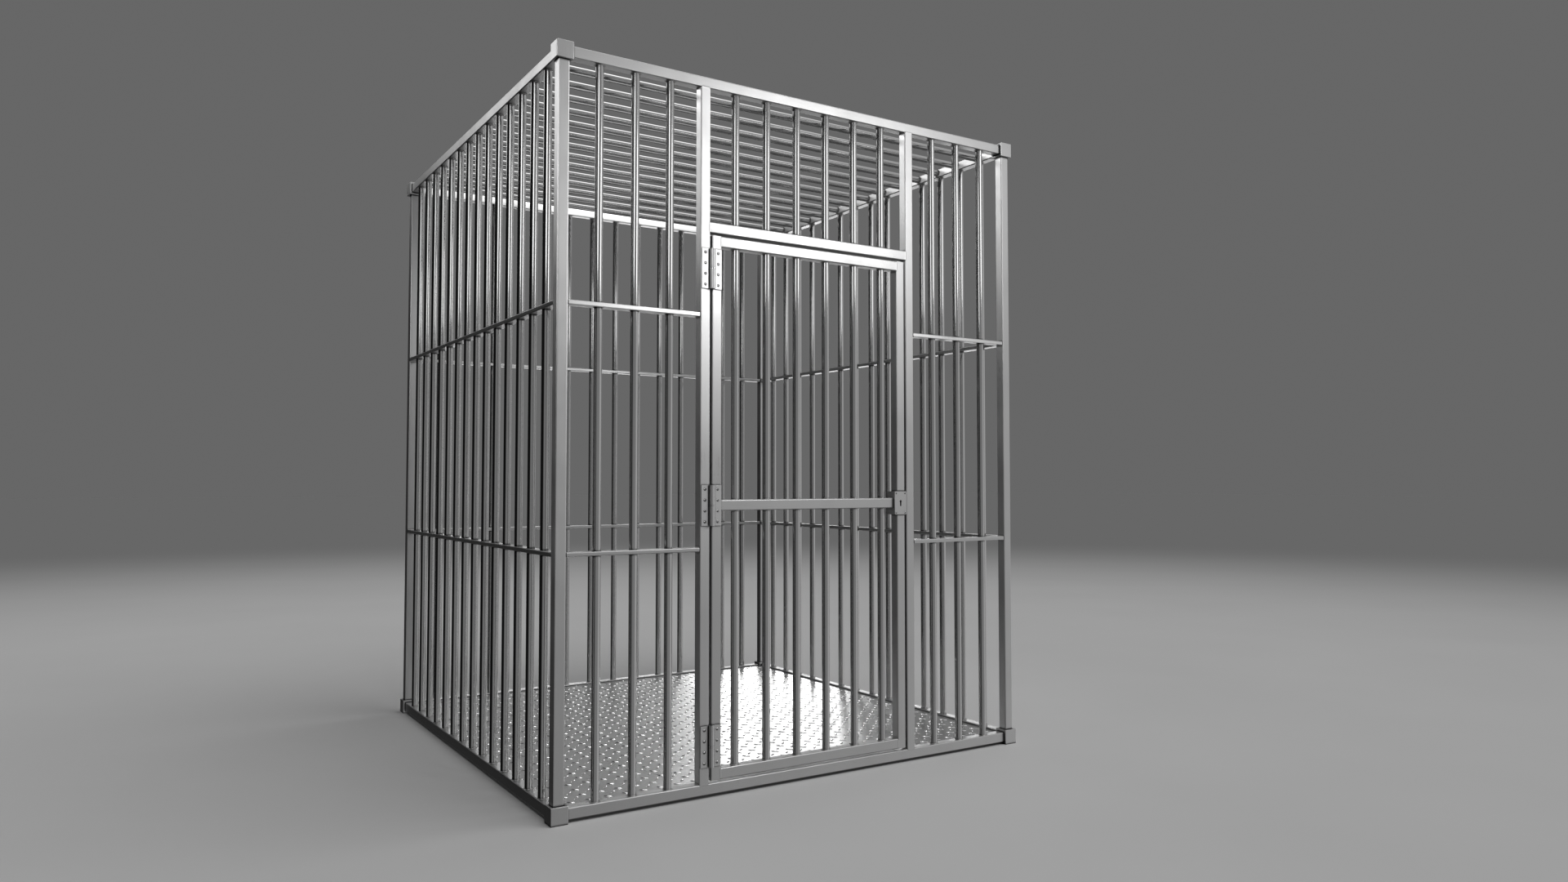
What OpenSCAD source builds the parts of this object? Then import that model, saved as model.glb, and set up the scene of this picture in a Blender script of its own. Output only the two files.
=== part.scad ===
/* [Frame] */
// Outside width of the tube frame, across the front
frame_w = 1980; // [1880:10:2080]
// Outside depth of the tube frame, front to back
frame_d = 1980; // [1880:10:2080]
// Height of the tube frame, bottom rail underside to top rail top
frame_h = 2480; // [2400:10:2600]
// Side of the square frame tube
tube = 38; // [36:1:40]
// Wall of the square frame tube
tube_wall = 2; // [1.5:0.25:3]
// Outside corner radius of the square frame tube
tube_round = 4; // [2:0.5:5]
// How far each corner block stands proud of the tubes, on every side
block_proud = 10; // [9:0.5:14]

/* [Bars] */
// Outside diameter of the round bars
bar_d = 28; // [22:1:30]
// Wall of the round bars, which are tube
bar_wall = 2; // [1.5:0.25:3]
// Equal spaces along one side, which set the bar pitch
bar_spaces = 15; // [15:1:15]
// First and last space mark taken by the door jambs
jamb_marks = [4, 11];
// Height of the flat mid rails that the bars pass through
mid_rail_h = 15; // [10:1:20]
// Height of each mid rail above or below the middle of the frame
mid_rail_offset = 405; // [350:5:450]
// All-round clearance of a bar in its hole through a mid rail
bar_hole_clear = 0.25; // [0.1:0.05:0.5]

/* [Door] */
// Underside of the door header above the underside of the bottom rail
header_under = 1934; // [1850:2:1980]
// Gap between the door leaf and its opening, all round
door_gap = 8; // [7:0.5:10]

/* [Hinges] */
// Height of a hinge leaf
leaf_h = 140; // [120:2:160]
// Reach of a hinge leaf from the pin axis to its outer edge
leaf_reach = 39; // [36:1:40]
// Thickness of a hinge leaf
leaf_t = 4; // [3:0.5:5]
// Outside radius of the hinge barrel
barrel_r = 9.5; // [9:0.5:10]
// Radius of the hinge pin
pin_r = 5; // [4:0.5:6]
// Radial running clearance of the pin in the door knuckle
pin_clear = 0.05; // [0.02:0.01:0.1]
// Height of the top and bottom hinges above and below the middle hinge
hinge_offset = 821; // [760:5:840]

/* [Lock] */
// Width of the lock case
lock_w = 57; // [55:1:60]
// Height of the lock case
lock_h = 89; // [86:1:94]
// How far the lock stands proud of the front of the door
lock_proud = 10; // [9:0.5:12]
// Travel of the lock bolt
bolt_throw = 16; // [14:0.5:17]

/* [Floor] */
// Thickness of the tread plate
plate_t = 5; // [4:0.5:6]
// How far the tread plate lies below the top of the bottom rails
plate_drop = 8; // [6:1:10]
// Joists under the tread plate
joist_count = 3; // [2:1:4]

/* [Hidden] */
$fn = 48;

// Colours
TUBE_STEEL = [0.66, 0.67, 0.68];
BAR_STEEL = [0.58, 0.59, 0.60];
FLOOR_STEEL = [0.62, 0.63, 0.65];
HINGE_STEEL = [0.70, 0.70, 0.72];
LOCK_STEEL = [0.72, 0.72, 0.73];
DARK_STEEL = [0.42, 0.42, 0.44];

// Frame lines: centres of the corner tubes, and heights above the floor
x_side = frame_w / 2 - tube / 2;
y_side = frame_d / 2 - tube / 2;
z_under = block_proud;
z_low = z_under + tube / 2;
z_high = z_under + frame_h - tube / 2;
z_rail_top = z_under + tube;
z_roof_under = z_under + frame_h - tube;
z_middle = z_under + frame_h / 2;
block = tube + 2 * block_proud;
// Each tube end sits this deep in its corner block, short of the socket's end
tube_insert = block_proud - 0.5;
socket = tube + 0.4;
rail_x_len = frame_w - 2 * tube - 1;
rail_y_len = frame_d - 2 * tube - 1;
post_len = frame_h - 2 * tube - 1;

// Bar pitches and the panel planes
pitch_x = 2 * x_side / bar_spaces;
pitch_y = 2 * y_side / bar_spaces;
upright_len = z_roof_under - z_rail_top;
x_inner = frame_w / 2 - tube;
y_inner = frame_d / 2 - tube;

// Door opening and leaf
x_jamb = x_side - jamb_marks[0] * pitch_x;
opening_half = x_jamb - tube / 2;
z_header = z_under + header_under;
door_half = opening_half - door_gap;
z_door_low = z_rail_top + door_gap;
z_door_high = z_header - door_gap;
door_h = z_door_high - z_door_low;
z_door_mid = (z_door_low + z_door_high) / 2;
x_stile = door_half - tube / 2;
y_face = -frame_d / 2;

// Hinges: the pin axis stands in the middle of the gap, tangent to the door face
x_pin = -opening_half + door_gap / 2;
y_pin = y_face - barrel_r;
hinge_heights = [z_door_mid + hinge_offset, z_door_mid, z_door_mid - hinge_offset];
leaf_clear = barrel_r + 1.5;
leaf_y = barrel_r - leaf_t;
web_relief = 0.5;
washer_t = 5;
knuckle_gap = 0.05;
hinge_screw_x = (leaf_clear + leaf_reach) / 2;
hinge_screw_z = [for (k = [-0.4, -0.132, 0.132, 0.4]) k * leaf_h];
hinge_screw_d = 5;
hinge_head_d = 11;
hinge_head_h = 3;
hinge_screw_len = leaf_t + tube_wall + 5;

// Lock, measured from its centre on the door face
x_lock = door_half - lock_w / 2;
lock_wall = 2.5;
cover_t = 3;
cover_round = 5;
case_front = -(lock_proud - cover_t);
case_depth = tube - case_front;
case_back = tube - lock_wall;
lock_screw_x = lock_w / 2 - 7;
lock_screw_z = lock_h / 2 - 7;
lock_screw_d = 4;
lock_head_d = 8;
lock_head_h = 2.2;
boss_d = 10;
bolt_h = 18;
bolt_t = 10;
bolt_z = 20;
bolt_fit = 0.3;
bolt_tip = lock_w / 2 - 1;
bolt_head_len = 21.5;
tail_t = 4;
tail_end = -23;
guide_r = 2.5;
key_pin_r = 2;
key_z = 6;
key_slot_w = 6;
key_round_r = 4.8;
key_slot_low = -12;

// Strike in the lock jamb
strike_t = 1.5;
strike_w = 28;
strike_h = 70;
strike_fit = 1;

// Floor
z_plate_top = z_rail_top - plate_drop;
joist_h = z_plate_top - plate_t - z_under;
joist_w = 25;
joist_wall = 2;

// ---- Shared shapes ----

function corner_x(c) = (c == 0 || c == 3) ? 1 : -1;
function corner_y(c) = (c < 2) ? 1 : -1;

// Outline of a rectangle with round corners, centred on the origin
function round_rect(w, h, r, steps) = [
    for (c = [0:3])
        for (i = [0:steps])
            let (a = 90 * c + 90 * i / steps)
                [corner_x(c) * (w / 2 - r) + r * cos(a),
                 corner_y(c) * (h / 2 - r) + r * sin(a)]
];

module tube_profile() {
    difference() {
        polygon(round_rect(tube, tube, tube_round, 5));
        square(tube - 2 * tube_wall, center = true);
    }
}

module tube_x(len) {
    rotate([0, 90, 0])
        linear_extrude(len)
            tube_profile();
}

module tube_y(len) {
    rotate([-90, 0, 0])
        linear_extrude(len)
            tube_profile();
}

module tube_z(len) {
    linear_extrude(len)
        tube_profile();
}

module bar(len) {
    linear_extrude(len)
        difference() {
            circle(d = bar_d);
            circle(d = bar_d - 2 * bar_wall);
        }
}

// Domed screw along -Y: the head's seat is at the origin, the shank runs to +Y
module dome_screw(shank_d, shank_len, head_d, head_h) {
    dome_r = (head_d * head_d / 4 + head_h * head_h) / (2 * head_h);
    rotate([90, 0, 0])
        difference() {
            union() {
                intersection() {
                    translate([0, 0, head_h - dome_r])
                        sphere(r = dome_r);
                    cylinder(h = head_h + 1, d = head_d + 1);
                }
                translate([0, 0, -shank_len])
                    cylinder(h = shank_len + head_h / 3, d = shank_d);
            }
            translate([0, 0, head_h - 1.4])
                cylinder(h = 3, d = head_d * 0.42, $fn = 6);
        }
}

// Round hole along Y, from just in front of y to depth behind it
module hole_y(d, depth) {
    translate([0, -1, 0])
        rotate([-90, 0, 0])
            cylinder(h = depth + 1, d = d);
}

// ---- Corner blocks ----

// Block with a shallow socket for each of the three tubes that meet in it
module corner_block(sx, sy, sz) {
    reach = block / 2 - block_proud / 2;
    translate([sx * x_side, sy * y_side, sz > 0 ? z_high : z_low])
        difference() {
            cube(block, center = true);
            translate([-sx * (reach + 0.5), 0, 0])
                cube([block_proud + 1, socket, socket], center = true);
            translate([0, -sy * (reach + 0.5), 0])
                cube([socket, block_proud + 1, socket], center = true);
            translate([0, 0, -sz * (reach + 0.5)])
                cube([socket, socket, block_proud + 1], center = true);
        }
}

module corner_blocks(sz) {
    color(TUBE_STEEL)
        for (sx = [-1, 1], sy = [-1, 1])
            corner_block(sx, sy, sz);
}

// ---- Frame tubes ----

module post(sx, sy) {
    color(TUBE_STEEL)
        translate([sx * x_side, sy * y_side, z_middle - post_len / 2])
            tube_z(post_len);
}

module rail_across(sy, z) {
    color(TUBE_STEEL)
        translate([-rail_x_len / 2, sy * y_side, z])
            tube_x(rail_x_len);
}

module rail_deep(sx, z) {
    color(TUBE_STEEL)
        translate([sx * x_side, -rail_y_len / 2, z])
            tube_y(rail_y_len);
}

module upright_jamb(sx) {
    translate([sx * x_jamb, -y_side, z_rail_top])
        tube_z(upright_len);
}

// Screw holes for every hinge leaf on one side of the pins
module hinge_screw_holes(side) {
    for (z = hinge_heights, dz = hinge_screw_z)
        translate([x_pin + side * hinge_screw_x, y_face, z + dz])
            hole_y(hinge_screw_d, tube_wall + 1);
}

module hinge_jamb() {
    color(TUBE_STEEL)
        difference() {
            upright_jamb(-1);
            hinge_screw_holes(-1);
        }
}

module strike_slot() {
    translate([opening_half, y_face + tube / 2, z_door_mid + bolt_z])
        cube([2 * tube_wall + 2 * strike_t + 1, bolt_t + 2 * strike_fit,
              bolt_h + 2 * strike_fit], center = true);
}

module lock_jamb() {
    color(TUBE_STEEL)
        difference() {
            upright_jamb(1);
            strike_slot();
        }
}

module strike_plate() {
    color(HINGE_STEEL)
        difference() {
            translate([opening_half - strike_t, y_face + tube / 2 - strike_w / 2,
                       z_door_mid + bolt_z - strike_h / 2])
                cube([strike_t, strike_w, strike_h]);
            strike_slot();
        }
}

module door_header() {
    color(TUBE_STEEL)
        translate([-opening_half, -y_side, z_header + tube / 2])
            tube_x(2 * opening_half);
}

// ---- Mid rails: flat bars drilled for the bars that pass through them ----

module mid_rail_hole() {
    translate([0, 0, -mid_rail_h])
        cylinder(h = 2 * mid_rail_h, d = bar_d + 2 * bar_hole_clear);
}

module mid_rail_across(x0, x1, y, marks, z) {
    color(TUBE_STEEL)
        difference() {
            translate([x0, y - tube / 2, z - mid_rail_h / 2])
                cube([x1 - x0, tube, mid_rail_h]);
            for (i = marks)
                translate([-x_side + i * pitch_x, y, z])
                    mid_rail_hole();
        }
}

module mid_rail_deep(sx, z) {
    color(TUBE_STEEL)
        difference() {
            translate([sx * x_side - tube / 2, -y_inner, z - mid_rail_h / 2])
                cube([tube, 2 * y_inner, mid_rail_h]);
            for (i = [1:bar_spaces - 1])
                translate([sx * x_side, -y_side + i * pitch_y, z])
                    mid_rail_hole();
        }
}

module front_mid_rail(sx, sz) {
    left_marks = [for (i = [1:jamb_marks[0] - 1]) i];
    right_marks = [for (i = [jamb_marks[1] + 1:bar_spaces - 1]) i];
    near = x_jamb + tube / 2;
    mid_rail_across(sx < 0 ? -x_inner : near, sx < 0 ? -near : x_inner, -y_side,
                    sx < 0 ? left_marks : right_marks, z_middle + sz * mid_rail_offset);
}

module back_mid_rail(sz) {
    mid_rail_across(-x_inner, x_inner, y_side, [for (i = [1:bar_spaces - 1]) i],
                    z_middle + sz * mid_rail_offset);
}

module side_mid_rail(sx, sz) {
    mid_rail_deep(sx, z_middle + sz * mid_rail_offset);
}

// ---- Bars ----

module bars_across(first, last, y, z, len) {
    color(BAR_STEEL)
        for (i = [first:last])
            translate([-x_side + i * pitch_x, y, z])
                bar(len);
}

module bars_deep(sx) {
    color(BAR_STEEL)
        for (i = [1:bar_spaces - 1])
            translate([sx * x_side, -y_side + i * pitch_y, z_rail_top])
                bar(upright_len);
}

module transom_bars() {
    z_sill = z_header + tube;
    bars_across(jamb_marks[0] + 1, jamb_marks[1] - 1, -y_side, z_sill, z_roof_under - z_sill);
}

module roof_bars() {
    color(BAR_STEEL)
        for (i = [1:bar_spaces - 1])
            translate([-x_inner, -y_side + i * pitch_y, z_high])
                rotate([0, 90, 0])
                    bar(2 * x_inner);
}

// ---- Floor ----

module floor_tread_plate() {
    color(FLOOR_STEEL)
        difference() {
            translate([-x_inner, -y_inner, z_plate_top - plate_t])
                cube([2 * x_inner, 2 * y_inner, plate_t]);
            for (sx = [-1, 1], sy = [-1, 1])
                translate([sx * x_side, sy * y_side, z_plate_top])
                    cube(block + 0.4, center = true);
        }
}

module floor_joists() {
    step = 2 * y_inner / (joist_count + 1);
    color(DARK_STEEL)
        for (i = [1:joist_count])
            translate([-x_inner, -y_inner + i * step, z_under + joist_h / 2])
                rotate([90, 0, 90])
                    linear_extrude(2 * x_inner)
                        difference() {
                            square([joist_w, joist_h], center = true);
                            square([joist_w - 2 * joist_wall, joist_h - 2 * joist_wall],
                                   center = true);
                        }
}

// ---- Door leaf ----

module door_hinge_stile() {
    color(TUBE_STEEL)
        difference() {
            translate([-x_stile, -y_side, z_door_low])
                tube_z(door_h);
            hinge_screw_holes(1);
        }
}

// The lock case is welded in between a lower and an upper length of stile
module door_lock_stile() {
    length = door_h / 2 - lock_h / 2;
    color(TUBE_STEEL)
        for (z = [z_door_low, z_door_mid + lock_h / 2])
            translate([x_stile, -y_side, z])
                tube_z(length);
}

module door_cross_rail(z) {
    inner = x_stile - tube / 2;
    color(TUBE_STEEL)
        translate([-inner, -y_side, z])
            tube_x(2 * inner);
}

module door_top_rail() {
    door_cross_rail(z_door_high - tube / 2);
}

module door_bottom_rail() {
    door_cross_rail(z_door_low + tube / 2);
}

module door_mid_rail() {
    left = -(x_stile - tube / 2);
    color(TUBE_STEEL)
        translate([left, -y_side, z_door_mid])
            tube_x(x_lock - lock_w / 2 - left);
}

module door_bars(z) {
    length = door_h / 2 - tube - tube / 2;
    bars_across(jamb_marks[0] + 1, jamb_marks[1] - 1, -y_side, z, length);
}

module door_upper_bars() {
    door_bars(z_door_mid + tube / 2);
}

module door_lower_bars() {
    door_bars(z_door_low + tube);
}

// ---- Hinges ----

// side -1 is the frame leaf with the lower knuckle, +1 the door leaf with the upper one
module hinge_leaf(side) {
    knuckle_len = leaf_h / 2 - washer_t / 2 - (side > 0 ? knuckle_gap : 0);
    knuckle_z = side > 0 ? leaf_h / 2 - knuckle_len : -leaf_h / 2;
    bore_r = side > 0 ? pin_r + pin_clear : pin_r;
    difference() {
        union() {
            translate([side > 0 ? leaf_clear : -leaf_reach, leaf_y, -leaf_h / 2])
                cube([leaf_reach - leaf_clear, leaf_t, leaf_h]);
            translate([side > 0 ? 0 : -leaf_clear, leaf_y, knuckle_z])
                cube([leaf_clear, leaf_t - web_relief, knuckle_len]);
            translate([0, 0, knuckle_z])
                cylinder(h = knuckle_len, r = barrel_r);
        }
        translate([0, 0, -leaf_h])
            cylinder(h = 2 * leaf_h, r = bore_r);
        for (dz = hinge_screw_z)
            translate([side * hinge_screw_x, leaf_y, dz])
                hole_y(hinge_screw_d + 0.4, leaf_t + 1);
    }
}

module hinge_leaf_at(side, z) {
    color(HINGE_STEEL)
        translate([x_pin, y_pin, z])
            hinge_leaf(side);
}

module hinge_pins() {
    color(DARK_STEEL)
        for (z = hinge_heights)
            translate([x_pin, y_pin, z - leaf_h / 2])
                cylinder(h = leaf_h, r = pin_r);
}

module hinge_washers() {
    color(LOCK_STEEL)
        for (z = hinge_heights)
            translate([x_pin, y_pin, z - washer_t / 2])
                difference() {
                    cylinder(h = washer_t, r = barrel_r + 0.4);
                    translate([0, 0, -1])
                        cylinder(h = washer_t + 2, r = pin_r + pin_clear);
                }
}

module hinge_screws(side) {
    color(LOCK_STEEL)
        for (z = hinge_heights, dz = hinge_screw_z)
            translate([x_pin + side * hinge_screw_x, y_pin + leaf_y, z + dz])
                dome_screw(hinge_screw_d, hinge_screw_len, hinge_head_d, hinge_head_h);
}

// ---- Lock ----

module at_lock() {
    translate([x_lock, y_face, z_door_mid])
        children();
}

module lock_screw_places() {
    for (sx = [-1, 1], sz = [-1, 1])
        translate([sx * lock_screw_x, 0, sz * lock_screw_z])
            children();
}

module lock_case() {
    color(LOCK_STEEL)
        at_lock()
            difference() {
                union() {
                    difference() {
                        translate([-lock_w / 2, case_front, -lock_h / 2])
                            cube([lock_w, case_depth, lock_h]);
                        translate([-lock_w / 2 + lock_wall, case_front - 1,
                                   -lock_h / 2 + lock_wall])
                            cube([lock_w - 2 * lock_wall, case_depth - lock_wall + 1,
                                  lock_h - 2 * lock_wall]);
                    }
                    lock_screw_places()
                        translate([0, case_front, 0])
                            rotate([-90, 0, 0])
                                cylinder(h = case_depth - lock_wall / 2, d = boss_d);
                }
                lock_screw_places()
                    translate([0, case_front, 0])
                        hole_y(lock_screw_d, 16);
                translate([lock_w / 2, tube / 2, bolt_z])
                    cube([4 * lock_wall, bolt_t + 2 * bolt_fit, bolt_h + 2 * bolt_fit],
                         center = true);
            }
}

module keyhole_outline() {
    translate([0, key_z])
        circle(r = key_round_r);
    translate([-key_slot_w / 2, key_slot_low])
        square([key_slot_w, key_z - key_slot_low]);
}

module lock_cover() {
    color(LOCK_STEEL)
        at_lock()
            translate([0, case_front, 0])
                rotate([90, 0, 0])
                    linear_extrude(cover_t)
                        difference() {
                            polygon(round_rect(lock_w, lock_h, cover_round, 6));
                            keyhole_outline();
                            for (sx = [-1, 1], sz = [-1, 1])
                                translate([sx * lock_screw_x, sz * lock_screw_z])
                                    circle(d = lock_screw_d + 0.4);
                        }
}

module lock_cover_screws() {
    color(HINGE_STEEL)
        at_lock()
            lock_screw_places()
                translate([0, -lock_proud, 0])
                    dome_screw(lock_screw_d, 14, lock_head_d, lock_head_h);
}

// Guide stud for the bolt's tail, and the pin that the hollow key turns on
module lock_posts() {
    color(DARK_STEEL)
        at_lock() {
            translate([0, tube / 2 - bolt_t / 2, bolt_z])
                rotate([-90, 0, 0])
                    cylinder(h = case_back - tube / 2 + bolt_t / 2, r = guide_r);
            translate([0, case_front + 1, key_z])
                rotate([-90, 0, 0])
                    cylinder(h = case_back - case_front - 1, r = key_pin_r);
        }
}

// Square head, and a thin tail with a guide slot and a notch for the key's bit
module lock_bolt() {
    slot_h = 2 * guide_r + 2 * bolt_fit;
    slot_left = -(bolt_throw + guide_r + bolt_fit);
    notch_w = bolt_throw / 2;
    head_x = bolt_tip - bolt_head_len;
    color(HINGE_STEEL)
        at_lock()
            translate([0, tube / 2, bolt_z])
                difference() {
                    union() {
                        translate([head_x, -bolt_t / 2, -bolt_h / 2])
                            cube([bolt_head_len, bolt_t, bolt_h]);
                        translate([tail_end, -tail_t / 2, -bolt_h / 2])
                            cube([head_x + 1 - tail_end, tail_t, bolt_h]);
                    }
                    translate([slot_left, -bolt_t, -slot_h / 2])
                        cube([guide_r + bolt_fit - slot_left, 2 * bolt_t, slot_h]);
                    translate([-bolt_throw / 2 - notch_w / 2, -bolt_t, -bolt_h / 2 - 1])
                        cube([notch_w, 2 * bolt_t, 5]);
                }
}

// Bowed strip between the top of the case and the bolt's tail
module bolt_spring() {
    half = 14;
    top = lock_h / 2 - lock_wall - 0.3;
    low = bolt_z + bolt_h / 2 + bolt_fit;
    sag = top - low;
    bow_r = (half * half + sag * sag) / (2 * sag);
    sweep = 2 * atan(sag / half);
    strip_t = 1;
    steps = 12;
    arc = [for (i = [-steps:steps]) 270 + sweep * i / steps];
    outline = concat(
        [for (a = arc) [bow_r * cos(a), bow_r * sin(a)]],
        [for (i = [2 * steps:-1:0]) (bow_r - strip_t) * [cos(arc[i]), sin(arc[i])]]
    );
    color(DARK_STEEL)
        at_lock()
            translate([0, tube / 2 + 4, low + bow_r])
                rotate([90, 0, 0])
                    linear_extrude(8)
                        polygon(outline);
}

// ---- Every node ----

corner_blocks(-1);  // corner_blocks_bottom
corner_blocks(1);  // corner_blocks_top
post(-1, -1);  // post_front_left
post(1, -1);  // post_front_right
post(-1, 1);  // post_back_left
post(1, 1);  // post_back_right
rail_across(-1, z_low);  // bottom_rail_front
rail_across(1, z_low);  // bottom_rail_back
rail_deep(-1, z_low);  // bottom_rail_left
rail_deep(1, z_low);  // bottom_rail_right
rail_across(-1, z_high);  // top_rail_front
rail_across(1, z_high);  // top_rail_back
rail_deep(-1, z_high);  // top_rail_left
rail_deep(1, z_high);  // top_rail_right
hinge_jamb();
lock_jamb();
door_header();
front_mid_rail(-1, -1);  // front_left_lower_mid_rail
front_mid_rail(-1, 1);  // front_left_upper_mid_rail
front_mid_rail(1, -1);  // front_right_lower_mid_rail
front_mid_rail(1, 1);  // front_right_upper_mid_rail
side_mid_rail(-1, -1);  // left_lower_mid_rail
side_mid_rail(-1, 1);  // left_upper_mid_rail
side_mid_rail(1, -1);  // right_lower_mid_rail
side_mid_rail(1, 1);  // right_upper_mid_rail
back_mid_rail(-1);  // back_lower_mid_rail
back_mid_rail(1);  // back_upper_mid_rail
bars_across(1, jamb_marks[0] - 1, -y_side, z_rail_top, upright_len);  // front_left_bars
bars_across(jamb_marks[1] + 1, bar_spaces - 1, -y_side, z_rail_top, upright_len);  // front_right_bars
transom_bars();
bars_deep(-1);  // left_bars
bars_deep(1);  // right_bars
bars_across(1, bar_spaces - 1, y_side, z_rail_top, upright_len);  // back_bars
roof_bars();
floor_tread_plate();
floor_joists();
door_hinge_stile();
door_lock_stile();
door_top_rail();
door_bottom_rail();
door_mid_rail();
door_upper_bars();
door_lower_bars();
hinge_leaf_at(-1, hinge_heights[0]);  // top_hinge_frame_leaf
hinge_leaf_at(-1, hinge_heights[1]);  // middle_hinge_frame_leaf
hinge_leaf_at(-1, hinge_heights[2]);  // bottom_hinge_frame_leaf
hinge_leaf_at(1, hinge_heights[0]);  // top_hinge_door_leaf
hinge_leaf_at(1, hinge_heights[1]);  // middle_hinge_door_leaf
hinge_leaf_at(1, hinge_heights[2]);  // bottom_hinge_door_leaf
hinge_pins();
hinge_washers();
hinge_screws(-1);  // hinge_frame_screws
hinge_screws(1);  // hinge_door_screws
lock_case();
lock_cover();
lock_cover_screws();
lock_posts();
lock_bolt();
bolt_spring();
strike_plate();
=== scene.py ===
"""Kennel cage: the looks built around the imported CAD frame."""

import math

import bpy
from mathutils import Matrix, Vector


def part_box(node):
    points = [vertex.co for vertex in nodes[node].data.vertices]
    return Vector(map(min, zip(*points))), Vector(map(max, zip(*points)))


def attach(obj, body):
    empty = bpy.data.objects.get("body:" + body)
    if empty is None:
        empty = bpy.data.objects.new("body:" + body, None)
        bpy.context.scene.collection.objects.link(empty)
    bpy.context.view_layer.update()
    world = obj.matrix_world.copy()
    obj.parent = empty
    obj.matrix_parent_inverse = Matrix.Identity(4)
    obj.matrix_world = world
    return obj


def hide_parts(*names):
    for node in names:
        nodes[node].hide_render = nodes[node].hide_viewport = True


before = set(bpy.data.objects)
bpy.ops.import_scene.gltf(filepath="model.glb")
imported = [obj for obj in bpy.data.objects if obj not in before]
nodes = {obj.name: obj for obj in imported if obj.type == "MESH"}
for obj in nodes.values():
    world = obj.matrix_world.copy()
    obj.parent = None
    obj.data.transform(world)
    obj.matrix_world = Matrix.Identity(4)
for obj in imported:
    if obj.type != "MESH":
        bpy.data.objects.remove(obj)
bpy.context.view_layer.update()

MM = 0.001

# ---- Sizes read from the frame ----

post_low, post_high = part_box("post_front_left")
TUBE = post_high.x - post_low.x
TUBE_ROUND = 4 * MM
FLAT_HALF = TUBE / 2 - TUBE_ROUND
bar_low, bar_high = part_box("back_bars")
BAR_R = (bar_high.y - bar_low.y) / 2

# ---- Camera ----

CAMERA_AT = Vector((-2.193, -4.215, 1.078))
CAMERA_YAW = math.radians(32.6)
CAMERA_PITCH = math.radians(2.19)
CAMERA_LENS = 24.38


def make_camera():
    data = bpy.data.cameras.new("camera")
    data.sensor_width = 36
    data.lens = CAMERA_LENS
    data.clip_end = 200
    camera = bpy.data.objects.new("camera", data)
    camera.location = CAMERA_AT
    camera.rotation_euler = (math.pi / 2 + CAMERA_PITCH, 0, -CAMERA_YAW)
    bpy.context.scene.collection.objects.link(camera)
    bpy.context.scene.camera = camera


# ---- Shader helpers ----

# Painted shade: the colour is darkened in narrow gaps and next to other parts, where shade falls:
# none where a point is OPEN, most where it is SHUT_IN
PAINTED_SHADE_REACH = 9 * MM
PAINTED_SHADE_SHARE = 0.97
PAINTED_SHADE_TONE = 0.03
SHUT_IN = 0.6
OPEN = 0.93


def grey(level, warmth=0.0):
    return (level * (1 + warmth), level, level * (1 - warmth), 1.0)


class Shader:
    """A node material, with short ways to add nodes and join them."""

    def __init__(self, name):
        self.material = bpy.data.materials.new(name)
        self.material.use_nodes = True
        self.tree = self.material.node_tree
        self.principled = self.tree.nodes["Principled BSDF"]
        self.place = self.add("ShaderNodeTexCoord").outputs["Object"]

    def add(self, kind, **settings):
        node = self.tree.nodes.new(kind)
        for key, value in settings.items():
            setattr(node, key, value)
        return node

    def join(self, source, target):
        self.tree.links.new(source, target)

    def put(self, socket, value):
        if isinstance(value, bpy.types.NodeSocket):
            self.join(value, socket)
        else:
            socket.default_value = value

    def noise(self, stretch, scale, detail=3.0, roughness=0.5):
        mapping = self.add("ShaderNodeMapping")
        self.join(self.place, mapping.inputs["Vector"])
        mapping.inputs["Scale"].default_value = stretch
        noise = self.add("ShaderNodeTexNoise")
        self.join(mapping.outputs["Vector"], noise.inputs["Vector"])
        noise.inputs["Scale"].default_value = scale
        noise.inputs["Detail"].default_value = detail
        noise.inputs["Roughness"].default_value = roughness
        return noise.outputs["Fac"]

    def remap(self, value, low, high, to_low, to_high):
        node = self.add("ShaderNodeMapRange", clamp=True)
        for name, setting in (
            ("Value", value),
            ("From Min", low),
            ("From Max", high),
            ("To Min", to_low),
            ("To Max", to_high),
        ):
            self.put(node.inputs[name], setting)
        return node.outputs["Result"]

    def math(self, operation, a, b):
        node = self.add("ShaderNodeMath", operation=operation)
        self.put(node.inputs[0], a)
        self.put(node.inputs[1], b)
        return node.outputs[0]

    def mix(self, share, a, b):
        node = self.add("ShaderNodeMix", data_type="RGBA")
        self.put(node.inputs["Factor"], share)
        self.put(node.inputs[6], a)
        self.put(node.inputs[7], b)
        return node.outputs[2]

    def bump(self, height, strength, distance):
        node = self.add("ShaderNodeBump")
        self.join(height, node.inputs["Height"])
        node.inputs["Strength"].default_value = strength
        node.inputs["Distance"].default_value = distance
        self.join(node.outputs["Normal"], self.principled.inputs["Normal"])

    def with_painted_shade(self, colour):
        """Painted shade: the colour, darkened where another surface stands closer than the reach
        set above, as shade falls in gaps.
        """
        hollow = self.add("ShaderNodeAmbientOcclusion", samples=8)
        hollow.inputs["Distance"].default_value = PAINTED_SHADE_REACH
        painted_shade_amount = self.remap(hollow.outputs["AO"], SHUT_IN, OPEN, PAINTED_SHADE_SHARE, 0.0)
        return self.mix(painted_shade_amount, colour, grey(PAINTED_SHADE_TONE))


# Stretch of the brushing noise for each direction a tube can run in
GRAIN = {
    "x": (0.012, 1.0, 1.0),
    "y": (1.0, 0.012, 1.0),
    "z": (1.0, 1.0, 0.012),
    "none": (1.0, 1.0, 1.0),
}


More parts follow.
